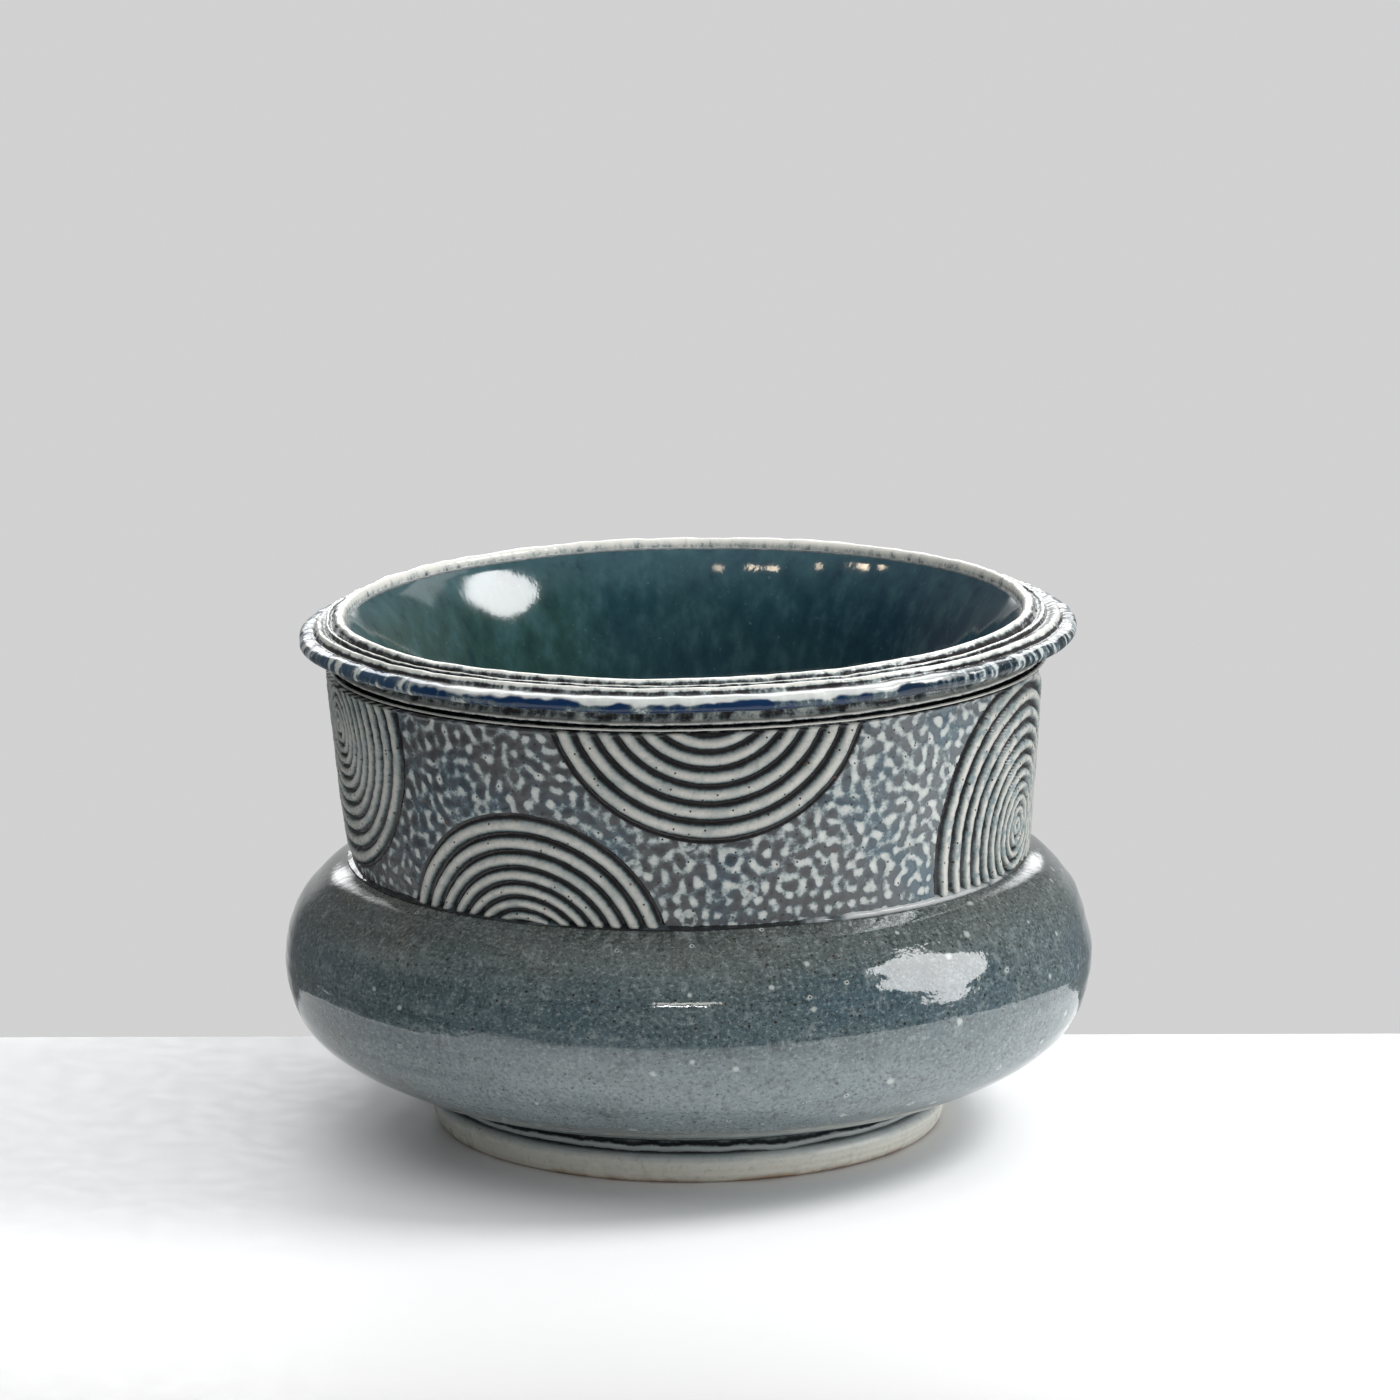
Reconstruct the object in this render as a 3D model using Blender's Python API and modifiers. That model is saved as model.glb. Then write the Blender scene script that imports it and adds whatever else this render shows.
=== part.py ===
"""Salt-glazed stoneware crock, built the way a potter assembles it.

Thrown sections are luted together with slip: a foot ring, a bulbous belly with
its floor, and a flared neck with a grooved flange. A relief slab is wrapped
round the neck as an upright collar, from the belly's shoulder to the flange.
Units are metres, +Z is up, and the origin is the centre of the footprint.
"""

import math

import bpy
from mathutils import Matrix, Vector
from mathutils.geometry import interpolate_bezier

# Turning and fitting
STEPS = 48              # facets round every turned piece
GAP = 0.0003            # clearance between pieces that touch
BEAD_SIDES = 6          # points on the round edge of a slip bead

# Foot ring
FOOT_HEIGHT = 0.0092
FOOT_BOTTOM_RADIUS = 0.0786
FOOT_EDGE_RADIUS = 0.0817
FOOT_INNER_RADIUS = 0.0690
FOOT_REBATE_RADIUS = 0.0712
FOOT_REBATE_DEPTH = 0.0026

# Belly
BELLY_RADIUS = 0.1279
BELLY_WIDEST_Z = 0.0541
BELLY_BASE_Z = 0.0138       # where the belly's round starts, above the foot
BELLY_BASE_RADIUS = 0.0816
BELLY_NECK_RADIUS = 0.0768  # turned waist behind the foot's slip bead
BELLY_WALL = 0.0065
FLOOR_TOP_Z = 0.0155
FLOOR_TURN_RADIUS = 0.0680  # where the flat floor starts to rise into the wall
SHOULDER_RADIUS = 0.1080    # where the collar's outer side meets the belly
SHOULDER_Z = 0.0862

# Neck: its inner side is an arc that is narrowest at the throat
THROAT_RADIUS = 0.0846
THROAT_Z = 0.1068
NECK_ARC_RADIUS = 0.0840
NECK_WALL = 0.0065
NECK_SEAT_Z = 0.0970        # flat top of the belly, which carries the neck
TONGUE_HEIGHT = 0.0030      # upstand on the belly's inner half, under the neck's rebate
TONGUE_THICKNESS = 0.0030

# Slab collar
COLLAR_TOP_RADIUS = 0.1126
COLLAR_TOP_Z = 0.1475
COLLAR_WALL = 0.0065
COLLAR_BOW = 0.0003         # how far the wall bows out between its ends
COLLAR_INSET = 0.0004       # the slab stands back this far from the shoulder's edge
SEAM_WIDTH = 0.0018
SEAM_TILT = math.radians(50)
SEAM_LENGTH = 0.040

# Rim flange
MOUTH_RADIUS = 0.1062
RIM_HEIGHT = 0.1655         # the crock's overall height
LIP_RADIUS = 0.1218
LIP_Z = 0.1579
BAND_RADIUS = 0.1097        # plain band between the slab and the flange
BAND_INNER_RADIUS = 0.1045
FLANGE_UNDER_Z = 0.1545

# Luting slip between the sections
SLIP_THICKNESS = 0.0012
SLIP_BULGE = 0.0006


def polar(centre, radius, degrees):
    """Point of a profile at an angle round a centre."""
    angle = math.radians(degrees)
    return (centre[0] + radius * math.cos(angle), centre[1] + radius * math.sin(angle))


def arc(centre, radius, start, end, count):
    """Points of a round stretch, from one angle in degrees to another."""
    return [polar(centre, radius, start + (end - start) * i / (count - 1)) for i in range(count)]


def smooth(points, count):
    """A curve through the points, with count points on each stretch between two of them."""
    knots = [Vector((x, z, 0.0)) for x, z in points]
    slopes = [knots[1] - knots[0]]
    for before, knot, after in zip(knots, knots[1:], knots[2:]):
        slopes.append(((knot - before).normalized() + (after - knot).normalized()).normalized())
    slopes.append(knots[-1] - knots[-2])
    curve = [knots[0]]
    for i in range(len(knots) - 1):
        reach = (knots[i + 1] - knots[i]).length / 3
        leave = knots[i] + slopes[i].normalized() * reach
        arrive = knots[i + 1] - slopes[i + 1].normalized() * reach
        curve += interpolate_bezier(knots[i], leave, arrive, knots[i + 1], count + 1)[1:]
    return [(point.x, point.y) for point in curve]


def offset(points, distance):
    """The profile moved sideways, to the right of its direction of travel."""
    moved = []
    for i, (x, z) in enumerate(points):
        before = points[max(i - 1, 0)]
        after = points[min(i + 1, len(points) - 1)]
        along = Vector((after[0] - before[0], after[1] - before[1])).normalized()
        moved.append((x + along.y * distance, z - along.x * distance))
    return moved


def glaze(name, colour, roughness):
    """A fired ceramic surface."""
    material = bpy.data.materials.new(name)
    material.use_nodes = True
    shader = material.node_tree.nodes["Principled BSDF"]
    shader.inputs["Base Color"].default_value = (*colour, 1.0)
    shader.inputs["Roughness"].default_value = roughness
    shader.inputs["Metallic"].default_value = 0.0
    material.diffuse_color = (*colour, 1.0)
    return material


def turned(name, profile, collection, material=None, closed=True):
    """A piece turned about the Z axis from a profile that runs down its outer side."""
    mesh = bpy.data.meshes.new(name)
    edges = [(i, i + 1) for i in range(len(profile) - 1)]
    if closed:
        edges.append((len(profile) - 1, 0))
    mesh.from_pydata([(radius, 0.0, z) for radius, z in profile], edges, [])
    piece = bpy.data.objects.new(name, mesh)
    collection.objects.link(piece)
    screw = piece.modifiers.new("Turn", "SCREW")
    screw.steps = STEPS
    screw.render_steps = STEPS
    screw.use_merge_vertices = True
    screw.merge_threshold = 0.00001
    screw.use_smooth_shade = True
    if material:
        mesh.materials.append(material)
    return piece


def outer_bead(inner_radius, outer_radius, bottom, top):
    """Profile of a slip ring: flat inside, with a round outer edge."""
    half = (top - bottom) / 2
    edge = arc((outer_radius - half, bottom + half), half, 90, -90, BEAD_SIDES)
    return [(inner_radius, top)] + edge + [(inner_radius, bottom)]


def foot_ring_profile():
    rebate_z = FOOT_HEIGHT - FOOT_REBATE_DEPTH
    edge_round = 0.0016
    edge = arc((FOOT_EDGE_RADIUS - edge_round, FOOT_HEIGHT - edge_round), edge_round, 90, 0, 4)
    return [
        (FOOT_REBATE_RADIUS, FOOT_HEIGHT),
        *edge,
        (FOOT_EDGE_RADIUS - 0.0004, FOOT_HEIGHT * 0.45),
        (FOOT_BOTTOM_RADIUS + 0.0012, 0.0010),
        (FOOT_BOTTOM_RADIUS, 0.0),
        (FOOT_INNER_RADIUS + 0.0010, 0.0),
        (FOOT_INNER_RADIUS, 0.0010),
        (FOOT_INNER_RADIUS, rebate_z),
        (FOOT_REBATE_RADIUS, rebate_z),
    ]


def shoulder_point(radius):
    """Point of the conical shoulder that carries the slab, at a radius."""
    return (radius, SHOULDER_Z + (SHOULDER_RADIUS - radius) * 0.82)


def belly_outline():
    """The belly's outer side, from the collar's inner edge down to the foot."""
    return smooth(
        [
            shoulder_point(SHOULDER_RADIUS - COLLAR_WALL - COLLAR_INSET),
            (SHOULDER_RADIUS, SHOULDER_Z),
            (0.1135, 0.0832),
            (0.1179, 0.0790),
            (0.1233, 0.0722),
            (0.1268, 0.0620),
            (BELLY_RADIUS, BELLY_WIDEST_Z),
            (0.1259, 0.0432),
            (0.1228, 0.0360),
            (0.1166, 0.0294),
            (0.1017, 0.0209),
            (BELLY_BASE_RADIUS, BELLY_BASE_Z),
        ],
        2,
    )


def neck_inner_radius(z):
    """The neck's inner side: wide at the mouth, narrowest at the throat."""
    rise = (z - THROAT_Z) / NECK_ARC_RADIUS
    return THROAT_RADIUS + NECK_ARC_RADIUS * (1 - math.sqrt(1 - rise * rise))


def belly_profile():
    outline = belly_outline()
    inner_radius = neck_inner_radius(NECK_SEAT_Z)
    tongue_radius = inner_radius + TONGUE_THICKNESS
    inside = [point for point in offset(outline, BELLY_WALL) if point[0] > inner_radius]
    boss_z = FOOT_HEIGHT - FOOT_REBATE_DEPTH + GAP
    boss_radius = FOOT_REBATE_RADIUS - GAP
    return [
        (0.0, FLOOR_TOP_Z),
        (FLOOR_TURN_RADIUS, FLOOR_TOP_Z + 0.0008),
        *reversed(inside),
        (inner_radius + 0.0012, NECK_SEAT_Z - 0.0045),
        (inner_radius, NECK_SEAT_Z - 0.0010),
        (inner_radius, NECK_SEAT_Z + TONGUE_HEIGHT),
        (tongue_radius, NECK_SEAT_Z + TONGUE_HEIGHT),
        (tongue_radius, NECK_SEAT_Z),
        (inner_radius + NECK_WALL + 0.0012, NECK_SEAT_Z),
        *outline,
        (BELLY_NECK_RADIUS, BELLY_BASE_Z - 0.0004),
        (BELLY_NECK_RADIUS, FOOT_HEIGHT + GAP),
        (boss_radius, FOOT_HEIGHT + GAP),
        (boss_radius, boss_z),
        (0.0, boss_z),
    ]


def joint_slip_profile():
    """Slip on the conical shoulder, squeezed out in a small bead under the slab."""
    outer = shoulder_point(SHOULDER_RADIUS - 0.0002)
    inner = shoulder_point(SHOULDER_RADIUS - COLLAR_WALL)
    top = GAP + SLIP_THICKNESS
    bead = (outer[0] + SLIP_BULGE, outer[1] + GAP + SLIP_THICKNESS / 2)
    return [
        (inner[0], inner[1] + top),
        (outer[0], outer[1] + top),
        (bead[0] - 0.0001, bead[1] + 0.0003),
        bead,
        (bead[0] - 0.0001, bead[1] - 0.0003),
        (outer[0], outer[1] + GAP),
        (inner[0], inner[1] + GAP),
    ]


def collar_profile():
    """The slab's section: gently flared, its lower edge bevelled to sit on the shoulder."""
    lift = SLIP_THICKNESS + 2 * GAP
    bottom_radius, shoulder_z = shoulder_point(SHOULDER_RADIUS - COLLAR_INSET)
    bottom = shoulder_z + lift
    height = COLLAR_TOP_Z - bottom
    outer = []
    for station in (1.0, 0.8, 0.6, 0.4, 0.2, 0.0):
        flare = bottom_radius + (COLLAR_TOP_RADIUS - bottom_radius) * station
        bow = COLLAR_BOW * 4 * station * (1 - station)
        outer.append((flare + bow, bottom + height * station))
    inner_radius, inner_z = shoulder_point(bottom_radius - COLLAR_WALL)
    inner = [(radius - COLLAR_WALL, z) for radius, z in reversed(outer) if z > inner_z + lift]
    return [*outer, (inner_radius, inner_z + lift), *inner]


def rim_profile():
    """Neck, band and grooved flange in one thrown section."""
    band_bottom = COLLAR_TOP_Z + SLIP_THICKNESS + 2 * GAP
    lip_round = 0.0023
    lip = arc((LIP_RADIUS - lip_round, LIP_Z), lip_round, 105, -100, 7)
    bead_round = 0.0018
    bead = arc((MOUTH_RADIUS + bead_round, RIM_HEIGHT - bead_round), bead_round, 180, 0, 5)
    seat = NECK_SEAT_Z + SLIP_THICKNESS + 2 * GAP
    tongue_top = NECK_SEAT_Z + TONGUE_HEIGHT + GAP
    tongue_radius = neck_inner_radius(NECK_SEAT_Z) + TONGUE_THICKNESS + GAP
    heights = [tongue_top + (RIM_HEIGHT - 0.0040 - tongue_top) * i / 7 for i in range(8)]
    inner = [(neck_inner_radius(z), z) for z in heights]
    outer = [point for point in offset(inner, NECK_WALL) if point[1] < band_bottom - 0.0080]
    return [
        *bead,
        (0.1103, 0.1628),       # first groove, just outside the mouth's bead
        (0.1119, 0.1636),
        (0.1132, 0.1622),       # second groove
        (0.1158, 0.1624),
        (0.1172, 0.1604),       # narrow groove against the lip
        *lip,
        (BAND_RADIUS + 0.0030, FLANGE_UNDER_Z + 0.0012),
        (BAND_RADIUS, FLANGE_UNDER_Z),
        (BAND_RADIUS, band_bottom + 0.0022),
        (COLLAR_TOP_RADIUS - 0.0004, band_bottom + 0.0012),
        (COLLAR_TOP_RADIUS - 0.0004, band_bottom),
        (BAND_INNER_RADIUS, band_bottom),
        *reversed(outer[1:]),
        (tongue_radius - TONGUE_THICKNESS + NECK_WALL, seat),
        (tongue_radius, seat),
        (tongue_radius, tongue_top),
        *inner,
    ]


def seam_box(name, width, collection):
    """A block that spans the collar's wall at the back, slanting like a scarf joint."""
    bpy.ops.mesh.primitive_cube_add(size=1.0)
    box = bpy.context.object
    box.name = name
    box.data.transform(Matrix.Diagonal((width, SEAM_LENGTH, 2 * COLLAR_TOP_Z, 1.0)))
    wall_middle = (SHOULDER_RADIUS + COLLAR_TOP_RADIUS - COLLAR_WALL) / 2
    box.location = (0.0, wall_middle, COLLAR_TOP_Z)
    box.rotation_euler = (0.0, 0.0, SEAM_TILT)
    for owner in list(box.users_collection):
        owner.objects.unlink(box)
    collection.objects.link(box)
    box.hide_render = True
    box.display_type = "WIRE"
    return box


def cut(piece, cutter, operation):
    boolean = piece.modifiers.new("Seam", "BOOLEAN")
    boolean.operation = operation
    boolean.solver = "EXACT"
    boolean.object = cutter


def build():
    for item in list(bpy.data.objects):
        bpy.data.objects.remove(item, do_unlink=True)
    crock = bpy.data.collections.new("stoneware_crock")
    cutters = bpy.data.collections.new("cutters")
    bpy.context.scene.collection.children.link(crock)
    bpy.context.scene.collection.children.link(cutters)

    foot_clay = glaze("foot_clay", (0.42, 0.41, 0.37), 0.45)
    slip = glaze("luting_slip", (0.16, 0.19, 0.20), 0.35)
    belly_glaze = glaze("belly_glaze", (0.10, 0.15, 0.19), 0.15)
    collar_glaze = glaze("collar_glaze", (0.22, 0.25, 0.27), 0.30)
    rim_glaze = glaze("rim_glaze", (0.13, 0.18, 0.24), 0.22)

    turned("foot_ring", foot_ring_profile(), crock, foot_clay)
    foot_bead = outer_bead(
        BELLY_NECK_RADIUS + GAP,
        BELLY_BASE_RADIUS - 0.0004,
        FOOT_HEIGHT + GAP,
        BELLY_BASE_Z - 0.0004 - GAP,
    )
    turned("foot_slip", foot_bead, crock, slip)
    turned("belly", belly_profile(), crock, belly_glaze, closed=False)

    neck_bead = outer_bead(
        neck_inner_radius(NECK_SEAT_Z) + TONGUE_THICKNESS + GAP,
        neck_inner_radius(NECK_SEAT_Z) + NECK_WALL + SLIP_BULGE,
        NECK_SEAT_Z + GAP,
        NECK_SEAT_Z + GAP + SLIP_THICKNESS,
    )
    turned("neck_slip", neck_bead, crock, slip)
    turned("rim_neck", rim_profile(), crock, rim_glaze)

    turned("collar_joint_slip", joint_slip_profile(), crock, slip)
    collar = turned("collar_slab", collar_profile(), crock, collar_glaze)
    cut(collar, seam_box("seam_cutter", SEAM_WIDTH, cutters), "DIFFERENCE")
    lap = turned("collar_lap_slip", collar_profile(), crock, slip)
    cut(lap, seam_box("seam_fill", SEAM_WIDTH - 2 * GAP, cutters), "INTERSECT")

    rim_bead = outer_bead(
        BAND_INNER_RADIUS,
        COLLAR_TOP_RADIUS + SLIP_BULGE,
        COLLAR_TOP_Z + GAP,
        COLLAR_TOP_Z + GAP + SLIP_THICKNESS,
    )
    turned("rim_slip", rim_bead, crock, slip)


build()
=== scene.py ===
"""Looks of the salt-glazed stoneware crock: fine turned surfaces, pressed relief and glazes.

Every piece is rebuilt finer than its CAD solid and rides on the same body.
Headings run round the pot from the front (-Y) towards the right (+X).
"""

import math

import bpy
import numpy as np
from mathutils import Matrix, Vector


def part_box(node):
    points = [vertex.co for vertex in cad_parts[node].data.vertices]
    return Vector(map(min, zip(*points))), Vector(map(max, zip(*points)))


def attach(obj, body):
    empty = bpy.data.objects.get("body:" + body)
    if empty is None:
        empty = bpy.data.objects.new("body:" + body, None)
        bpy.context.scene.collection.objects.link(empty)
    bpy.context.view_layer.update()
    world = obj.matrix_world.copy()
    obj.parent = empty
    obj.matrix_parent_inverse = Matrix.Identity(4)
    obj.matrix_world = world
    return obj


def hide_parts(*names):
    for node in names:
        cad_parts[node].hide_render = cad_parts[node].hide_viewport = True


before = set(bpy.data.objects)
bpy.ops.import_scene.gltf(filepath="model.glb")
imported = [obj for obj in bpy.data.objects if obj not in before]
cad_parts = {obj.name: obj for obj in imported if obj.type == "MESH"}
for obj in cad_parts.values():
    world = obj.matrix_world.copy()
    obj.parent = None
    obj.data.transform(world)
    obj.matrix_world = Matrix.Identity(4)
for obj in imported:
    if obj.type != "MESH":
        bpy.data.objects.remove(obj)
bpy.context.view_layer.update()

MM = 0.001

# ---- Heights and radii that the CAD solids give
FOOT_RADIUS, _, FOOT_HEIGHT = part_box("foot_ring")[1]
BELLY_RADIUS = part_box("belly")[1].x
COLLAR_TOP_RADIUS, _, COLLAR_TOP_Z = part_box("collar_slab")[1]

# ---- Shape constants shared with the solids
SHOULDER_RADIUS = 108.0 * MM
SHOULDER_Z = 86.2 * MM
SHOULDER_SLOPE = 0.82
WALL_THICKNESS = 6.5 * MM
THROAT_RADIUS = 84.6 * MM
THROAT_Z = 106.8 * MM
NECK_ARC = 84.0 * MM
FLOOR_Z = 15.5 * MM
SEAT_Z = 96.9 * MM              # the belly's upper edge, where the neck sits
AXIS_HOLE = 0.4 * MM            # radius at which the floor's middle is closed by a cap
SLIP_INNER_RADIUS = 104.7 * MM
WRAP_RADIUS = 110.0             # millimetres; turns a heading into a length round the pot

# ---- Handmade warp
TILT = math.radians(0.85)       # collar and rim rise towards the right
MOUTH_SHIFT = -1.2 * MM         # the mouth sits off centre in the flange
MOUTH_RISE = 1.9 * MM           # and stands higher at the back than at the front
COLLAR_LEAN = -1.3 * MM         # the collar's top leans to the left
WARP_LOW, WARP_HIGH = 45 * MM, 95 * MM


# ---- shape helpers
def mm(*points):
    """Points given in millimetres, in metres."""
    return np.array(points, float) * MM


def headings(columns):
    return np.linspace(-math.pi, math.pi, columns, endpoint=False)


def run_along(points):
    """Length along a line from its start to each of its points."""
    steps = np.linalg.norm(np.diff(points, axis=0), axis=1)
    return np.concatenate([[0], np.cumsum(steps)])


def smoothstep(low, high, value):
    t = np.clip((value - low) / (high - low), 0.0, 1.0)
    return t * t * (3 - 2 * t)


def curve_through(points, step):
    """A smooth curve through profile points, resampled at an even step."""
    knots = np.array(points, float)
    chords = np.diff(knots, axis=0)
    lengths = np.linalg.norm(chords, axis=1)
    units = chords / lengths[:, None]
    slopes = np.vstack([units[:1], units[:-1] + units[1:], units[-1:]])
    slopes /= np.linalg.norm(slopes, axis=1)[:, None]
    fine = []
    for i, length in enumerate(lengths):
        t = np.linspace(0, 1, 24, endpoint=False)[:, None]
        fine.append(
            (2 * t**3 - 3 * t**2 + 1) * knots[i]
            + (t**3 - 2 * t**2 + t) * length * slopes[i]
            + (3 * t**2 - 2 * t**3) * knots[i + 1]
            + (t**3 - t**2) * length * slopes[i + 1]
        )
    fine = np.vstack(fine + [knots[-1:]])
    return resample(fine, step)


def resample(points, step):
    """The same line with points at an even step, its ends kept."""
    points = np.array(points, float)
    run = run_along(points)
    count = max(2, int(round(run[-1] / step)) + 1)
    at = np.linspace(0, run[-1], count)
    return np.column_stack([np.interp(at, run, points[:, k]) for k in (0, 1)])


def offset(points, distance):
    """A profile moved sideways, to the right of its direction of travel."""
    along = np.gradient(points, axis=0)
    along /= np.linalg.norm(along, axis=1)[:, None]
    return points + np.column_stack([along[:, 1], -along[:, 0]]) * distance


def filtered_noise(shape, spacing, response, seed):
    """Random field on a grid that closes on itself, shaped by a response to frequency."""
    rng = np.random.default_rng(seed)
    white = rng.standard_normal(shape)
    fz = np.fft.fftfreq(shape[0], spacing[0])[:, None]
    fu = np.fft.fftfreq(shape[1], spacing[1])[None, :]
    field = np.fft.ifft2(np.fft.fft2(white) * response(fz, fu)).real
    return (field - field.mean()) / field.std()


def soft_noise(shape, spacing, size, seed, stretch=1.0):
    """Smooth noise whose lumps are about size across, longer round the pot by stretch."""
    def response(fz, fu):
        return np.exp(-((fz * size) ** 2 + (fu * size * stretch) ** 2) * 2)
    return filtered_noise(shape, spacing, response, seed)


WORM_SPREAD = 0.42              # share by which the worms' spacing varies


def worm_noise(shape, spacing, wavelength, seed):
    """Spots and short worms at one spacing, as salt glaze draws up on a rough ground."""
    def response(fz, fu):
        frequency = np.sqrt(fz**2 + fu**2)
        return np.exp(-((frequency * wavelength - 1) / WORM_SPREAD) ** 2)
    return filtered_noise(shape, spacing, response, seed)


def warped(x, y, z, mouth=0.0, lean=0.0):
    """The tilt that all pieces share, and the mouth's and the collar's own shifts."""
    moved_z = z + x * math.tan(TILT) * smoothstep(WARP_LOW, WARP_HIGH, z)
    moved_z = moved_z + MOUTH_RISE * mouth * y / (110 * MM)
    moved_x = x + MOUTH_SHIFT * mouth
    moved_x = moved_x + COLLAR_LEAN * lean * smoothstep(100 * MM, COLLAR_TOP_Z, z) ** 2
    return moved_x, y, moved_z


def add_mesh(name, points, faces, materials, smooth=True):
    mesh = bpy.data.meshes.new(name)
    mesh.from_pydata(points, [], faces)
    for material in materials:
        mesh.materials.append(material)
    mesh.polygons.foreach_set("use_smooth", np.full(len(faces), smooth))
    mesh.update()
    piece = bpy.data.objects.new(name, mesh)
    bpy.context.scene.collection.objects.link(piece)
    return piece


def fit(piece, node):
    """The piece stands for its CAD node and rides with it."""
    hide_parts(node)
    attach(piece, "root")


def ring_faces(rows, columns, closed=False, flip=False):
    """Quads between rings of points; closed joins the last ring to the first."""
    i = np.arange(rows if closed else rows - 1)[:, None]
    j = np.arange(columns)[None, :]
    below, beside = (i + 1) % rows * columns, (j + 1) % columns
    corners = [i * columns + j, below + j, below + beside, i * columns + beside]
    if flip:
        corners = [corners[k] for k in (0, 3, 2, 1)]
    return np.stack(corners, axis=-1).reshape(-1, 4).tolist()


def turned(name, node, profile, columns, materials, shape=None, closed=True, mouth=None,
           lean=0.0, fields=None, slots=None):
    """A piece turned from a profile that runs down its outer side, fitted to its CAD node.

    shape(heading, radius, z) returns the moved radius and z. fields holds named numbers
    stored on the points, and slots the material index of each profile point.
    Every point also stores its place round the pot, its run down the profile and its
    height before the warp, in millimetres.
    """
    rows = len(profile)
    grid = (rows, columns)
    heading = np.broadcast_to(headings(columns), grid)
    radius = np.repeat(profile[:, :1], columns, axis=1)
    z = np.repeat(profile[:, 1:], columns, axis=1)
    stored = dict(fields or {})
    stored["around"] = heading * WRAP_RADIUS
    stored["run"] = run_along(profile)[:, None] / MM
    stored["up"] = z / MM
    if shape:
        radius, z = shape(heading, radius, z)
    x, y = radius * np.sin(heading), -radius * np.cos(heading)
    x, y, z = warped(x, y, z, 0.0 if mouth is None else mouth[:, None], lean)
    points = np.stack([x, y, z], axis=-1).reshape(-1, 3)

    faces = ring_faces(rows, columns, closed)
    if not closed:
        faces.append(list(range(columns)))
        faces.append(list(range(len(points) - 1, len(points) - columns - 1, -1)))
    piece = add_mesh(name, points.tolist(), faces, materials)
    for key, values in stored.items():
        layer = piece.data.attributes.new(key, "FLOAT", "POINT")
        values = np.broadcast_to(values, grid).astype(np.float32)
        layer.data.foreach_set("value", values.reshape(-1))
    if slots is not None:
        face_rows = np.repeat(np.arange(rows), columns)[:len(faces)]
        if not closed:
            face_rows[-2:] = 0, rows - 1
        index = np.array(slots)[face_rows].astype(np.int32)
        piece.data.polygons.foreach_set("material_index", index)
    piece.data.update()
    fit(piece, node)


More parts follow.
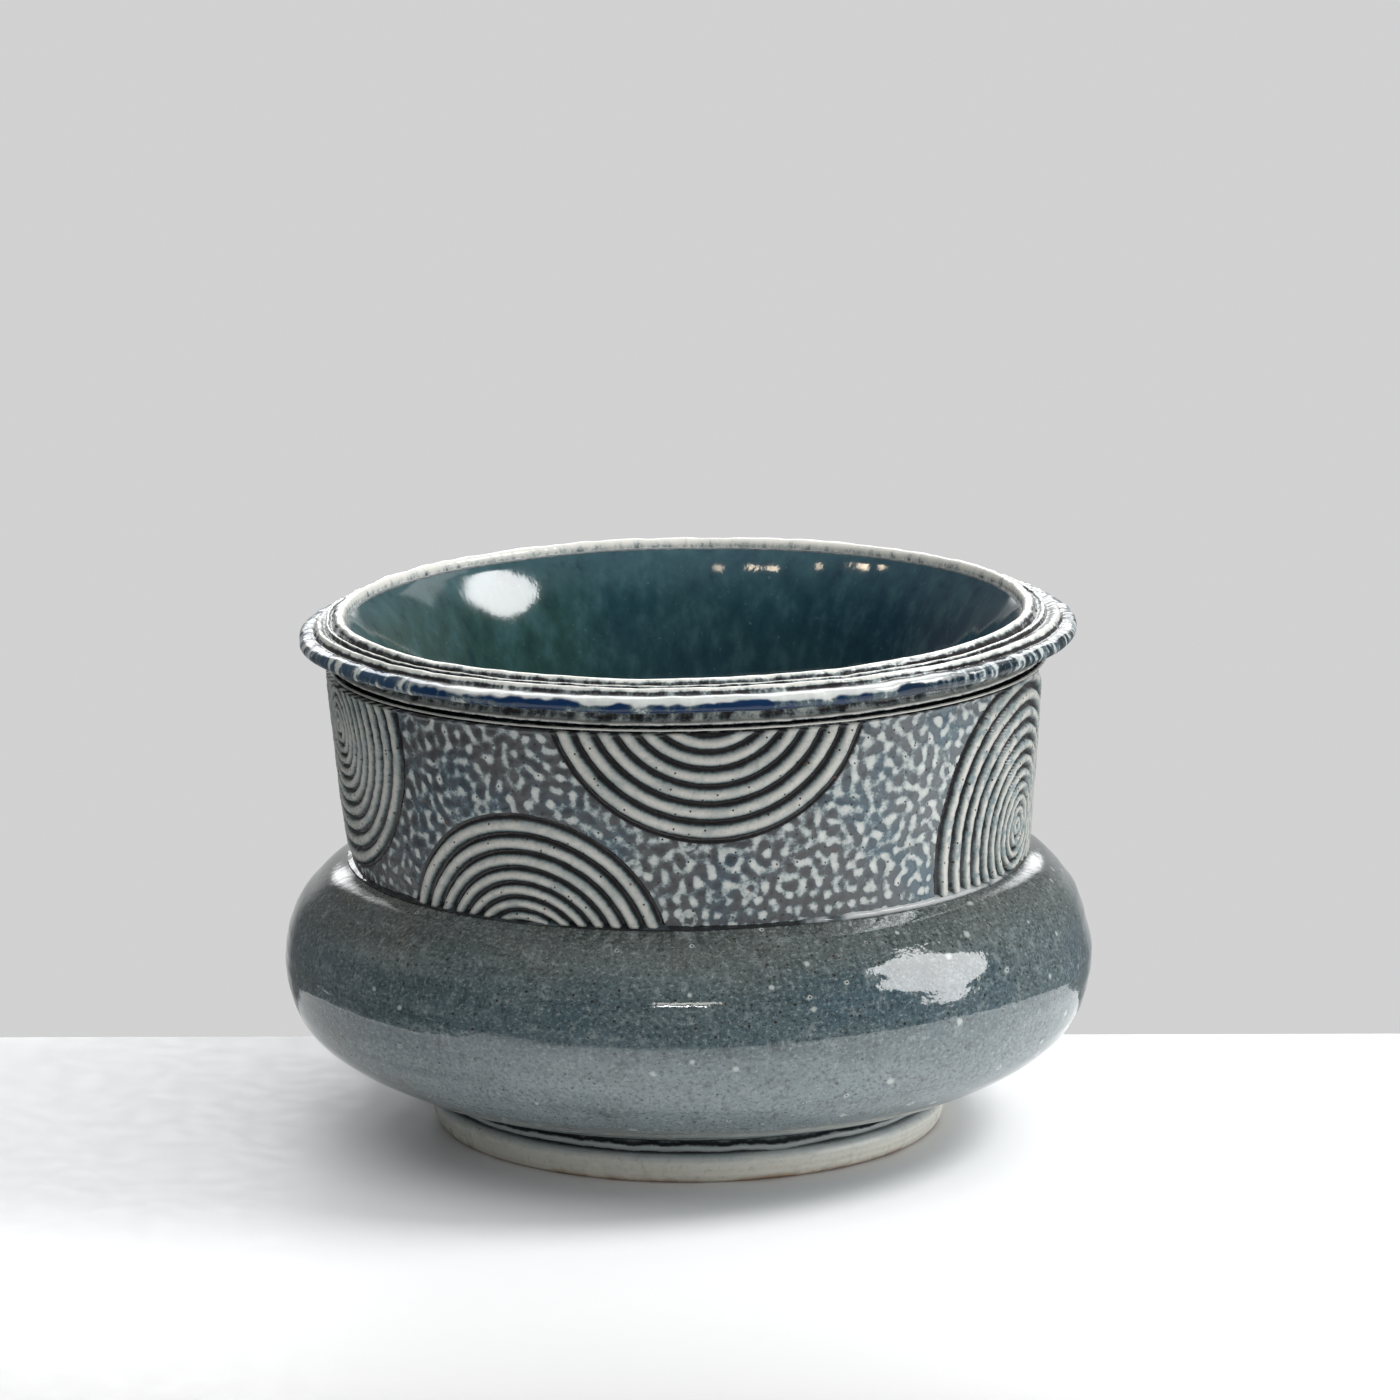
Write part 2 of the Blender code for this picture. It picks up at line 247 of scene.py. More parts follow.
# ---- material helpers
class Nodes:
    """Short way to write a node tree."""

    def __init__(self, name):
        self.material = bpy.data.materials.new(name)
        self.material.use_nodes = True
        self.tree = self.material.node_tree
        self.shader = self.tree.nodes["Principled BSDF"]
        self.position = self.add("ShaderNodeTexCoord").outputs["Object"]

    def add(self, kind, **settings):
        node = self.tree.nodes.new(kind)
        for key, value in settings.items():
            setattr(node, key, value)
        return node

    def link(self, source, socket):
        if isinstance(source, (int, float, tuple)):
            socket.default_value = source
        else:
            self.tree.links.new(source, socket)

    def math(self, operation, *values):
        """The operation on the values, taken in pairs from the left."""
        result = values[0]
        for value in values[1:] or (0.0,):
            node = self.add("ShaderNodeMath", operation=operation)
            self.link(result, node.inputs[0])
            self.link(value, node.inputs[1])
            result = node.outputs[0]
        return result

    def plus(self, *values):
        return self.math("ADD", *values)

    def minus(self, a, b):
        return self.math("SUBTRACT", a, b)

    def times(self, *values):
        return self.math("MULTIPLY", *values)

    def over(self, a, b):
        return self.math("DIVIDE", a, b)

    def below(self, value, limit):
        """1 where the value is below the limit, else 0."""
        return self.math("LESS_THAN", value, limit)

    def swing(self, noise, amount):
        """Noise about 0.5 turned into a number that swings about 0."""
        return self.times(self.minus(noise, 0.5), amount)

    def span(self, value, low, high, out_low=0.0, out_high=1.0, smooth=True):
        node = self.add("ShaderNodeMapRange")
        node.interpolation_type = "SMOOTHSTEP" if smooth else "LINEAR"
        self.link(value, node.inputs[0])
        for k, number in enumerate((low, high, out_low, out_high)):
            self.link(number, node.inputs[k + 1])
        return node.outputs[0]

    def mix(self, factor, a, b, blend="MIX"):
        node = self.add("ShaderNodeMix", data_type="RGBA", blend_type=blend)
        self.link(factor, node.inputs[0])
        self.link(a if not isinstance(a, tuple) else (*a, 1.0), node.inputs[6])
        self.link(b if not isinstance(b, tuple) else (*b, 1.0), node.inputs[7])
        return node.outputs[2]

    def tinted(self, base, layers):
        """The base under layers of (value, its low and high end, share, colour)."""
        for value, low, high, share, colour in layers:
            base = self.mix(self.span(value, low, high, 0.0, share), base, colour)
        return base

    def between(self, factor, a, b):
        """A number that goes from a to b."""
        node = self.add("ShaderNodeMix", data_type="FLOAT")
        self.link(factor, node.inputs[0])
        self.link(a, node.inputs[2])
        self.link(b, node.inputs[3])
        return node.outputs[0]

    def ramp(self, value, stops):
        node = self.add("ShaderNodeValToRGB")
        self.link(value, node.inputs[0])
        elements = node.color_ramp.elements
        while len(elements) < len(stops):
            elements.new(0.5)
        for element, (place, colour) in zip(elements, stops):
            element.position = place
            element.color = (*colour, 1.0)
        return node.outputs[0]

    def textured(self, kind, vector, **inputs):
        """A texture node on a vector, with its inputs set by name."""
        node = self.add(kind)
        self.link(vector, node.inputs["Vector"])
        for key, value in inputs.items():
            node.inputs[key].default_value = value
        return node

    def noise(self, size, detail=3.0, roughness=0.5, scale=(1, 1, 1), shift=0.0):
        """Noise in object space with lumps of about size metres, moved on by a shift."""
        place = self.textured("ShaderNodeMapping", self.position, Scale=scale)
        node = self.textured("ShaderNodeTexNoise", place.outputs[0], Scale=0.5 / size,
                             Detail=detail, Roughness=roughness)
        if shift:
            node.noise_dimensions = "4D"
            node.inputs["W"].default_value = shift
        return node.outputs[0]

    def field(self, name):
        return self.add("ShaderNodeAttribute", attribute_name=name).outputs["Fac"]

    def plane(self, across, upward):
        """A flat place made of two values."""
        node = self.add("ShaderNodeCombineXYZ")
        self.link(across, node.inputs[0])
        self.link(upward, node.inputs[1])
        return node.outputs[0]

    def flat_noise(self, place, size, detail=2.0, roughness=0.5, stretch=(1, 1), shift=0.0):
        """Noise on a flat place in millimetres, with lumps of about size."""
        moved = self.textured("ShaderNodeMapping", place, Scale=(*stretch, 1),
                              Location=(shift * 37, shift * 11, shift))
        return self.textured("ShaderNodeTexNoise", moved.outputs[0], Scale=0.5 / size,
                             Detail=detail, Roughness=roughness).outputs[0]

    def cells(self, place, size, randomness=1.0, dimensions="2D"):
        """Points scattered size apart: distance in cells, and a random number for each."""
        node = self.textured("ShaderNodeTexVoronoi", place, Scale=1 / size,
                             Randomness=randomness)
        node.voronoi_dimensions = dimensions
        parts = self.add("ShaderNodeSeparateColor")
        self.link(node.outputs["Color"], parts.inputs[0])
        return node.outputs["Distance"], parts.outputs[0]

    def dots(self, place, size, radius, core, share):
        """1 inside a share of the scattered points' dots, 0 outside the radius in cells."""
        spot, chance = self.cells(place, size)
        return self.times(self.span(spot, radius, core), self.below(chance, share))

    def axis(self, name):
        """Place along an object axis, in metres."""
        node = self.add("ShaderNodeSeparateXYZ")
        self.link(self.position, node.inputs[0])
        return node.outputs[name]

    def bump(self, layers):
        """Chain of bump nodes from (height value, depth in metres, strength)."""
        normal = None
        for value, depth, strength in layers:
            node = self.add("ShaderNodeBump")
            node.inputs["Strength"].default_value = strength
            node.inputs["Distance"].default_value = depth
            self.link(value, node.inputs["Height"])
            if normal is not None:
                self.link(normal, node.inputs["Normal"])
            normal = node.outputs[0]
        self.link(normal, self.shader.inputs["Normal"])

    def finish(self, colour, roughness, ior=1.5):
        self.link(colour, self.shader.inputs["Base Color"])
        self.link(roughness, self.shader.inputs["Roughness"])
        self.shader.inputs["IOR"].default_value = ior
        return self.material


def iron_specks(n, size, radius, share):
    """1 inside specks of a radius, scattered size metres apart; share keeps some of them."""
    place = n.textured("ShaderNodeMapping", n.position).outputs[0]
    speck, chance = n.cells(place, size, dimensions="3D")
    return n.times(n.span(speck, radius / size, radius * 0.6 / size), n.below(chance, share))


# ---- glazes
PIN_DARK = (0.030, 0.022, 0.016)


def belly_glaze():
    """Glossy blue-grey salt glaze: olive shoulder, slate middle, specks and pinholed spots."""
    n = Nodes("belly_salt_glaze")
    around, up = n.field("around"), n.field("up")
    place = n.plane(around, n.field("run"))
    rightward = n.over(n.axis("X"), MM)
    cloud = n.noise(16 * MM, 3, 0.55, scale=(0.5, 0.5, 1.6))
    grain = n.flat_noise(place, 0.62, 2, 0.75)
    mottle = n.flat_noise(place, 1.7, 3, 0.65, stretch=(1, 0.7), shift=1)
    bands = n.noise(2.2 * MM, 3, 0.6, scale=(0.06, 0.06, 1), shift=2.0)
    base = n.ramp(n.span(n.plus(up, n.swing(cloud, 26)), 12, 90, smooth=False), [
        (0.00, (0.080, 0.120, 0.145)),
        (0.14, (0.125, 0.170, 0.185)),
        (0.36, (0.130, 0.170, 0.180)),
        (0.54, (0.068, 0.100, 0.112)),
        (0.72, (0.056, 0.082, 0.090)),
        (0.86, (0.070, 0.086, 0.082)),
        (1.00, (0.054, 0.064, 0.058)),
    ])
    slate = n.span(n.noise(22 * MM, 2, 0.5, scale=(0.6, 0.6, 1.2), shift=3.0), 0.46, 0.62)
    slate = n.times(slate, n.span(up, 78, 62, 0.10, 0.60))
    base = n.mix(slate, base, (0.030, 0.062, 0.084))
    brown = n.span(n.noise(13 * MM, 3, 0.6, scale=(0.7, 0.7, 1), shift=4.0), 0.50, 0.68, 0, 0.55)
    brown = n.times(brown, n.span(rightward, 30, -30, 0.25, 1.0))
    base = n.mix(brown, base, (0.095, 0.086, 0.060))
    base = n.tinted(base, [
        (bands, 0.50, 0.72, 0.35, (0.150, 0.180, 0.190)),
        (bands, 0.46, 0.28, 0.35, (0.028, 0.044, 0.056)),
        (mottle, 0.52, 0.74, 0.55, (0.210, 0.240, 0.242)),
        (mottle, 0.47, 0.28, 0.60, (0.018, 0.028, 0.034)),
        (grain, 0.52, 0.74, 0.60, (0.270, 0.300, 0.300)),
        (grain, 0.48, 0.30, 0.82, (0.022, 0.024, 0.022)),
    ])

    # Iron specks, most of them on the upper right
    crowded = n.times(n.span(rightward, -40, 40), n.span(up, 50, 66), 0.45)
    for size, radius, share in ((2.6, 0.105, 0.20), (6.5, 0.085, 0.30)):
        speck = n.dots(place, size, radius, radius * 0.55, n.plus(crowded, share))
        base = n.mix(n.times(speck, 0.9), base, (0.022, 0.015, 0.010))

    # Pale spots with soft edges, some of them with a pinhole
    spot, chance = n.cells(place, 10.5)
    share = n.plus(n.span(rightward, -60, 60, 0.14, 0.32), n.span(up, 34, 24, 0, 0.3))
    chosen = n.below(chance, share)
    edge = n.plus(0.075, n.times(chance, 0.25), n.swing(grain, 0.08))
    halo = n.times(n.span(n.over(spot, edge), 1.0, 0.30), chosen)
    base = n.mix(n.times(halo, 0.60), base, (0.480, 0.510, 0.490))
    pinned = n.below(n.math("FRACT", n.times(chance, 37.0)), 0.45)
    pin = n.times(n.span(spot, 0.036, 0.022), n.times(chosen, pinned))
    base = n.mix(pin, base, PIN_DARK)

    peel = n.flat_noise(place, 1.6, 2, 0.5, shift=5)
    wave = n.noise(9 * MM, 2, 0.5, scale=(0.35, 0.35, 1.3), shift=6.0)
    n.bump([(peel, 0.30 * MM, 0.30), (wave, 1.8 * MM, 0.30), (grain, 0.06 * MM, 0.20),
            (pin, -0.3 * MM, 0.6)])
    return n.finish(base, n.span(cloud, 0.3, 0.7, 0.04, 0.09), ior=1.9)


def inside_glaze():
    """Deep teal and navy glaze of the inside, greener to the left, mottled downwards, and painted
    paler towards the mouth as painted light.
    """
    n = Nodes("inside_glaze")
    mottle = n.noise(3.4 * MM, 4, 0.62, scale=(1, 1, 0.45))
    cloud = n.noise(26 * MM, 3, 0.55, scale=(1, 1, 0.7), shift=4.0)
    fine = n.noise(0.8 * MM, 2, 0.6, shift=1.0)
    side = n.plus(n.axis("X"), n.swing(cloud, 140 * MM))
    base = n.ramp(n.span(side, -105 * MM, 105 * MM, smooth=False), [
        (0.00, (0.026, 0.062, 0.052)),
        (0.30, (0.017, 0.052, 0.050)),
        (0.52, (0.012, 0.046, 0.062)),
        (1.00, (0.007, 0.030, 0.056)),
    ])
    # Painted light: the top of the inside, 146 to 163 mm up, is tinted paler blue.
    base = n.tinted(base, [
        (n.axis("Z"), 146 * MM, 163 * MM, 0.45, (0.050, 0.105, 0.135)),
        (mottle, 0.42, 0.74, 0.50, (0.055, 0.125, 0.140)),
        (mottle, 0.46, 0.26, 0.60, (0.006, 0.022, 0.034)),
        (fine, 0.62, 0.80, 0.35, (0.160, 0.220, 0.220)),
    ])
    n.bump([(mottle, 0.18 * MM, 0.30), (n.noise(13 * MM, 2, 0.5, shift=6.0), 0.8 * MM, 0.18)])
    return n.finish(base, n.span(cloud, 0.3, 0.7, 0.05, 0.12), ior=1.6)


def stamp_phase(n, around, up):
    """Rings of the nearest stamp, counted from its edge inwards."""
    phase = None
    for degrees, centre, radius, width, rings in ROUNDELS:
        start, growth = rings
        node = n.add("ShaderNodeVectorMath", operation="DISTANCE")
        n.link(n.plane(n.over(around, width), up), node.inputs[0])
        node.inputs[1].default_value = (math.radians(degrees) * WRAP_RADIUS / width, centre, 0)
        scaled = n.times(node.outputs["Value"], growth * STAMP_RADIUS / radius)
        count = n.over(n.math("LOGARITHM", n.plus(scaled, 1.0), math.e), start * growth)
        inward = n.minus(float(ring_count(STAMP_RADIUS, rings)), count)
        phase = inward if phase is None else n.math("MAXIMUM", phase, inward)
    return phase


def collar_glaze():
    """Salt glaze over relief: pale on what stands up, blue on the flanks, near black below."""
    n = Nodes("collar_salt_glaze")
    around, up, worms = n.field("around"), n.field("up"), n.field("worms")
    place = n.plane(around, up)
    fine = n.flat_noise(place, 0.55, 3, 0.65)
    blotch = n.flat_noise(place, 2.6, 3, 0.6, shift=1)
    crumbs = n.minus(fine, 0.5)

    # Ridges of the stamp
    phase = stamp_phase(n, around, up)
    turn = n.math("ABSOLUTE", n.minus(phase, n.math("ROUND", phase)))
    turn = n.plus(n.times(turn, 2.0), n.times(crumbs, 0.22), n.swing(blotch, 0.20))
    ridge = n.ramp(turn, [
        (0.00, (0.022, 0.019, 0.020)),
        (0.24, (0.026, 0.023, 0.025)),
        (0.33, (0.038, 0.050, 0.056)),
        (0.44, (0.170, 0.215, 0.215)),
        (0.58, (0.380, 0.392, 0.372)),
        (0.80, (0.520, 0.515, 0.480)),
        (1.00, (0.570, 0.555, 0.515)),
    ])
    wash = n.times(n.span(blotch, 0.50, 0.66),
                   n.times(n.span(turn, 0.36, 0.52), n.span(around, 50, 95, 0.35, 0.95)))
    ridge = n.mix(wash, ridge, (0.215, 0.275, 0.290))
    cloud = n.flat_noise(place, 6.5, 3, 0.65, shift=8)
    ridge = n.mix(n.span(cloud, 0.46, 0.70, 0.0, 0.75), ridge, (0.62, 0.70, 0.71), "MULTIPLY")
    ridge = n.mix(n.span(fine, 0.46, 0.30, 0.0, 0.6), ridge, (0.66, 0.68, 0.68), "MULTIPLY")

    # Ground: dots drawn up by the salt, run together into worms, with blue haloes
    dot, _ = n.cells(place, 2.75)
    drift = n.span(around, -90, 60, -0.20, 0.06, smooth=False)
    value = n.plus(n.times(n.minus(0.46, dot), 0.35), n.times(worms, 0.42), drift)
    bead, _ = n.cells(place, 4.3, 0.42)
    crowd = n.flat_noise(place, 1.45, 0.5, 0.5, shift=3)
    beads = n.plus(n.times(n.minus(0.36, bead), 2.4), n.swing(crowd, 1.2), n.times(worms, 0.22))
    low_right = n.times(n.span(up, 99, 95), n.span(around, -12, -4), n.span(around, 96, 86))
    value = n.between(low_right, value, beads)
    loop_size = 17.0
    loop, chance = n.cells(place, loop_size)
    loop = n.math("ABSOLUTE", n.minus(n.times(loop, loop_size), 2.1))
    loop = n.times(n.span(loop, 1.25, 0.45), n.below(chance, 0.16))
    value = n.between(n.times(loop, 0.8), value, 0.45)
    value = n.plus(value, n.times(crumbs, 1.3))
    ground = n.ramp(n.span(value, -1.0, 1.0, smooth=False), [
        (0.00, (0.050, 0.046, 0.048)),
        (0.34, (0.070, 0.067, 0.070)),
        (0.47, (0.095, 0.110, 0.120)),
        (0.57, (0.220, 0.260, 0.268)),
        (0.72, (0.430, 0.462, 0.452)),
        (1.00, (0.560, 0.580, 0.555)),
    ])
    lighter = n.times(n.span(around, 30, 95, 0.12, 0.55), n.span(value, 0.3, -0.2))
    ground = n.mix(lighter, ground, (0.170, 0.200, 0.215))
    blue = n.span(n.flat_noise(place, 11, 2, 0.5, shift=4), 0.46, 0.64, 0.0, 0.7)
    blue = n.times(blue, n.span(value, 0.35, -0.15))
    ground = n.mix(blue, ground, (0.66, 0.98, 1.16), "MULTIPLY")

    inside = n.span(phase, -0.19, -0.12)
    colour = n.mix(inside, ground, ridge)
    colour = n.mix(n.dots(place, 4.6, 0.085, 0.055, 0.45), colour, (0.030, 0.022, 0.018))
    colour = n.mix(n.dots(place, 9.0, 0.050, 0.030, 0.12), colour, (0.160, 0.070, 0.030))
    stand = n.times(n.span(value, -0.35, 0.45), n.minus(1.0, inside))
    skin = n.flat_noise(place, 1.5, 3, 0.55, shift=5)
    n.bump([(stand, 0.45 * MM, 0.55), (skin, 0.25 * MM, 0.40), (fine, 0.08 * MM, 0.35)])
    return n.finish(colour, n.span(n.flat_noise(place, 5, 2, 0.6, shift=6), 0.35, 0.65, 0.16, 0.34))


def rim_glaze():
    """Cobalt lip, pale ridges and near-black grooves, broken up by runs of salt glaze; in front the
    grooves are painted lighter and the lip's top painted white, as painted glare.
    """
    n = Nodes("rim_salt_glaze")
    tone = n.field("tone")          # 0 in grooves, 1 on ridges
    lip = n.field("lip")            # 1 on the cobalt roll
    around = n.field("around")
    place = n.plane(around, n.field("run"))
    side = n.span(n.math("ABSOLUTE", around), 55, 100)      # 0 in front, 1 at the sides
    run = n.flat_noise(place, 1.9, 2, 0.55, stretch=(1, 0.55))
    streak = n.flat_noise(place, 0.8, 2, 0.6, stretch=(1, 0.45), shift=2)
    fine = n.flat_noise(place, 0.45, 3, 0.6, shift=1)
    crumbs = n.minus(fine, 0.5)
    # Painted glare: in front the grooves' tone is held up to grey instead of near black.
    value = n.plus(n.math("MAXIMUM", tone, n.span(side, 0, 1, 0.34, 0.0)),
                   n.plus(n.swing(run, 1.35), n.times(crumbs, 0.6)))
    body = n.ramp(value, [
        (0.00, (0.020, 0.017, 0.018)),
        (0.26, (0.034, 0.031, 0.034)),
        (0.40, (0.085, 0.100, 0.108)),
        (0.55, (0.290, 0.335, 0.335)),
        (0.75, (0.620, 0.625, 0.590)),
        (1.00, (0.700, 0.690, 0.640)),
    ])

    # Cobalt of the lip, broken by pale spots, with a painted white highlight along the lip's top in
    # front
    spots = n.between(side, n.flat_noise(place, 4.2, 2, 0.55, stretch=(1, 0.9), shift=3),
                      n.flat_noise(place, 1.35, 1, 0.5, stretch=(1, 0.30), shift=3))
    mixed = n.plus(n.swing(streak, 0.30), spots, n.times(crumbs, 0.25))
    mixed = n.minus(mixed, n.span(side, 0, 1, 0.02, -0.04))
    rightward = n.over(n.axis("X"), MM)
    deep = n.mix(n.span(rightward, 30, 95), (0.005, 0.026, 0.080), (0.010, 0.018, 0.026))
    deep = n.mix(n.span(rightward, -70, -105), deep, (0.026, 0.060, 0.105))
    middle = n.mix(n.span(mixed, 0.47, 0.56), deep, (0.060, 0.095, 0.115))
    cobalt = n.mix(n.span(mixed, 0.57, 0.68), middle, (0.480, 0.515, 0.500))
    colour = n.mix(lip, body, cobalt)
    # Painted highlight: the top of the lip turns white in front, standing in for glare.
    painted_crest_glare = n.span(n.plus(n.field("up"), n.swing(spots, 6.0)), 158.3, 159.3)
    painted_crest_glare = n.times(painted_crest_glare, n.span(side, 0, 1, 0.85, 0.0), lip)
    colour = n.mix(painted_crest_glare, colour, (0.620, 0.640, 0.620))
    n.bump([(run, 0.6 * MM, 0.35), (spots, 0.8 * MM, 0.35), (fine, 0.10 * MM, 0.4)])
    return n.finish(colour, n.span(run, 0.3, 0.7, 0.09, 0.20))


def foot_glaze():
    """Pale clay under a thin salt glaze, toasted at the bottom edge, with iron specks."""
    n = Nodes("foot_thin_glaze")
    cloud = n.noise(10 * MM, 3, 0.6)
    grain = n.noise(0.9 * MM, 3, 0.6)
    lifted = n.plus(n.axis("Z"), n.swing(cloud, 4.5 * MM))
    base = n.ramp(n.span(lifted, 0.0, 10.5 * MM, smooth=False), [
        (0.00, (0.260, 0.150, 0.080)),
        (0.06, (0.400, 0.320, 0.240)),
        (0.16, (0.590, 0.570, 0.500)),
        (0.66, (0.570, 0.570, 0.515)),
        (0.88, (0.380, 0.430, 0.440)),
        (1.00, (0.200, 0.240, 0.250)),
    ])
    base = n.tinted(base, [(grain, 0.5, 0.75, 0.4, (0.300, 0.290, 0.260))])
    colour = n.mix(iron_specks(n, 5.0 * MM, 0.34 * MM, 0.5), base, (0.060, 0.035, 0.020))
    n.bump([(grain, 0.08 * MM, 0.35), (n.noise(4 * MM, 2, 0.5), 0.3 * MM, 0.2)])
    return n.finish(colour, n.span(cloud, 0.3, 0.7, 0.20, 0.38))


def bare_clay():
    """Unglazed base inside the foot, toasted by the firing."""
    n = Nodes("bare_fired_clay")
    cloud, grit = n.noise(18 * MM, 4, 0.6), n.noise(0.9 * MM, 4, 0.7)
    colour = n.ramp(cloud, [(0.30, (0.300, 0.215, 0.140)), (0.70, (0.440, 0.375, 0.295))])
    colour = n.mix(iron_specks(n, 4.0 * MM, 0.32 * MM, 0.6), colour, (0.070, 0.040, 0.025))
    n.bump([(grit, 0.20 * MM, 0.5)])
    return n.finish(colour, n.span(grit, 0.3, 0.7, 0.65, 0.88))


def seam_glaze():
    """Smeared slip of the seam: glossy, and broken between pale and dark."""
    n = Nodes("seam_slip_glaze")
    lump, fine = n.noise(4 * MM, 3, 0.6), n.noise(0.9 * MM, 3, 0.6, shift=1.0)
    pale = n.span(n.plus(lump, n.swing(fine, 0.3)), 0.40, 0.60)
    colour = n.mix(pale, (0.050, 0.055, 0.060), (0.200, 0.215, 0.220))
    n.bump([(fine, 0.10 * MM, 0.4)])
    return n.finish(colour, n.span(lump, 0.3, 0.7, 0.12, 0.26))


def foot_slip_glaze():
    """Bead under the belly: pale, between two thin dark lines that wander."""
    n = Nodes("foot_slip_glaze")
    around, up = n.field("around"), n.field("up")
    place = n.plane(around, up)
    wander = n.flat_noise(place, 5, 2, 0.6, stretch=(1, 0.2))
    fine = n.flat_noise(place, 0.6, 2, 0.6, shift=1)
    level = n.plus(up, n.swing(wander, 1.9), n.swing(fine, 0.5))
    colour = n.ramp(n.span(level, FOOT_HEIGHT / MM, 13.8, smooth=False), [
        (0.00, (0.020, 0.022, 0.024)),
        (0.16, (0.024, 0.026, 0.028)),
        (0.30, (0.330, 0.360, 0.355)),
        (0.60, (0.300, 0.330, 0.330)),
        (0.70, (0.022, 0.024, 0.026)),
        (0.82, (0.030, 0.034, 0.036)),
        (0.92, (0.220, 0.250, 0.255)),
    ])
    n.bump([(fine, 0.12 * MM, 0.4)])
    return n.finish(colour, n.span(wander, 0.3, 0.7, 0.10, 0.24))


def joint_glaze():
    """The belly-to-collar bead: whitish where the slip was squeezed out thick."""
    n = Nodes("joint_slip_glaze")
    fine = n.noise(1.2 * MM, 3, 0.6)
    colour = n.ramp(n.plus(n.field("thick"), n.swing(fine, 0.5)), [
        (0.15, (0.020, 0.022, 0.024)),
        (0.45, (0.075, 0.095, 0.105)),
        (0.75, (0.420, 0.430, 0.430)),
    ])
    n.bump([(fine, 0.10 * MM, 0.4)])
    return n.finish(colour, n.span(fine, 0.3, 0.7, 0.10, 0.22))


def table_white():
    """Matt white with painted shade: darker towards the camera, as the photo's table falls off, and
    near black further forward on the left.
    """
    n = Nodes("table_white")
    grain = n.noise(4 * MM, 3, 0.6)
    cloud = n.span(n.noise(400 * MM, 2), 0.3, 0.7)
    right, back = n.axis("X"), n.axis("Y")
    colour = n.mix(cloud, (0.855, 0.857, 0.862), (0.875, 0.876, 0.878))
    # Painted shade: the table darkens towards the camera, less so to the right.
    near = n.times(n.span(back, -0.13, -0.34, 0.0, 0.8), n.span(right, 0.26, 0.08, 0.45, 1.0))
    colour = n.mix(near, colour, (0.560, 0.555, 0.545))
    # Painted shade: further towards the camera the table's left goes near black.
    unseen = n.times(n.span(back, -0.27, -0.42), n.span(right, 0.30, 0.12))
    colour = n.mix(unseen, colour, (0.100, 0.100, 0.100))
    n.bump([(grain, 0.1 * MM, 0.1)])
    return n.finish(colour, n.span(grain, 0.3, 0.7, 0.55, 0.65))


# ---- outlines
def shoulder_point(radius):
    return (radius, SHOULDER_Z + (SHOULDER_RADIUS - radius) * SHOULDER_SLOPE)


def neck_inner_radius(z):
    rise = (z - THROAT_Z) / NECK_ARC
    return THROAT_RADIUS + NECK_ARC * (1 - np.sqrt(1 - rise * rise))


def make_belly(outside, inside, clay):
    neck = neck_inner_radius(SEAT_Z)
    outer = curve_through(np.vstack([
        [(neck + 7.5 * MM, SEAT_Z), shoulder_point(101.1 * MM), (SHOULDER_RADIUS, SHOULDER_Z)],
        mm((113.5, 83.2), (117.9, 79.0), (123.3, 72.2), (126.8, 62.0)),
        [(BELLY_RADIUS, 54.1 * MM)],
        mm((125.9, 43.2), (122.8, 36.0), (116.6, 29.4), (101.7, 20.9), (81.6, 13.8)),
    ]), 0.9 * MM)
    inner = offset(outer[8:], WALL_THICKNESS)[::-1]
    inner = np.vstack([
        resample([(AXIS_HOLE, FLOOR_Z), (66 * MM, FLOOR_Z + 0.6 * MM)], 5 * MM),
        resample(inner[inner[:, 0] > neck + 2.2 * MM], 2.2 * MM),
        [(neck + 0.6 * MM, SEAT_Z - 3.2 * MM), (neck, SEAT_Z - 1 * MM), (neck, SEAT_Z)],
    ])
    seat, base = FOOT_HEIGHT + 0.3 * MM, 6.9 * MM
    under = np.vstack([
        mm((78.2, 13.2), (76.8, 12.6)),
        [(76.8 * MM, seat), (70.9 * MM, seat), (70.9 * MM, base)],
        [(radius * MM, base) for radius in (60, 40, 20)], [(AXIS_HOLE, base)],
    ])
    profile = np.vstack([inner, outer, under])
    slots = [1] * len(inner) + [0] * (len(outer) + 2) + [2] * (len(under) - 2)
    columns = 400
    grid, spacing = (len(profile), columns), (0.9 * MM, 2 * MM)
    throwing = soft_noise(grid, spacing, 5 * MM, seed=11, stretch=14)
    dents = soft_noise(grid, spacing, 22 * MM, seed=12, stretch=2)

    def shape(heading, radius, z):
        live = smoothstep(14 * MM, 22 * MM, z) * (radius > 60 * MM)
        spiral = np.sin(z / (5.6 * MM) * 2 * math.pi + heading)
        swell = throwing * 0.07 + spiral * 0.05 + dents * 0.16
        return radius + swell * live * MM, z

    turned("belly_thrown", "belly", profile, columns, (outside, inside, clay), shape,
           closed=False, slots=slots)


def make_foot(glaze, clay):
    edge = curve_through(np.vstack([
        [(79.8 * MM, FOOT_HEIGHT - 0.10 * MM), (81.2 * MM, FOOT_HEIGHT - 0.9 * MM),
         (FOOT_RADIUS, FOOT_HEIGHT - 2.0 * MM)],
        mm((81.5, 4.8), (80.7, 2.2), (79.4, 0.5), (78.4, 0)),
    ]), 0.45 * MM)
    under = mm((75, 0), (71.0, 0), (69.4, 0.5), (69.0, 1.6), (69.0, 6.4), (71.2, 6.6))
    profile = np.vstack([
        [(72.0 * MM, FOOT_HEIGHT), (78.6 * MM, FOOT_HEIGHT)], edge, under])
    bare = len(under) + 1
    columns = 360
    wobble = soft_noise((len(profile), columns), (0.5 * MM, 1.4 * MM), 10 * MM, seed=21,
                        stretch=2)

    def shape(heading, radius, z):
        live = smoothstep(0.3 * MM, 2 * MM, z)
        ring = np.sin(z / (2.1 * MM) * 2 * math.pi) * 0.06
        return radius + (wobble * 0.10 + ring) * live * MM, z

    turned("foot_ring_turned", "foot_ring", profile, columns, (glaze, clay), shape,
           slots=[0] * (len(profile) - bare) + [1] * bare)


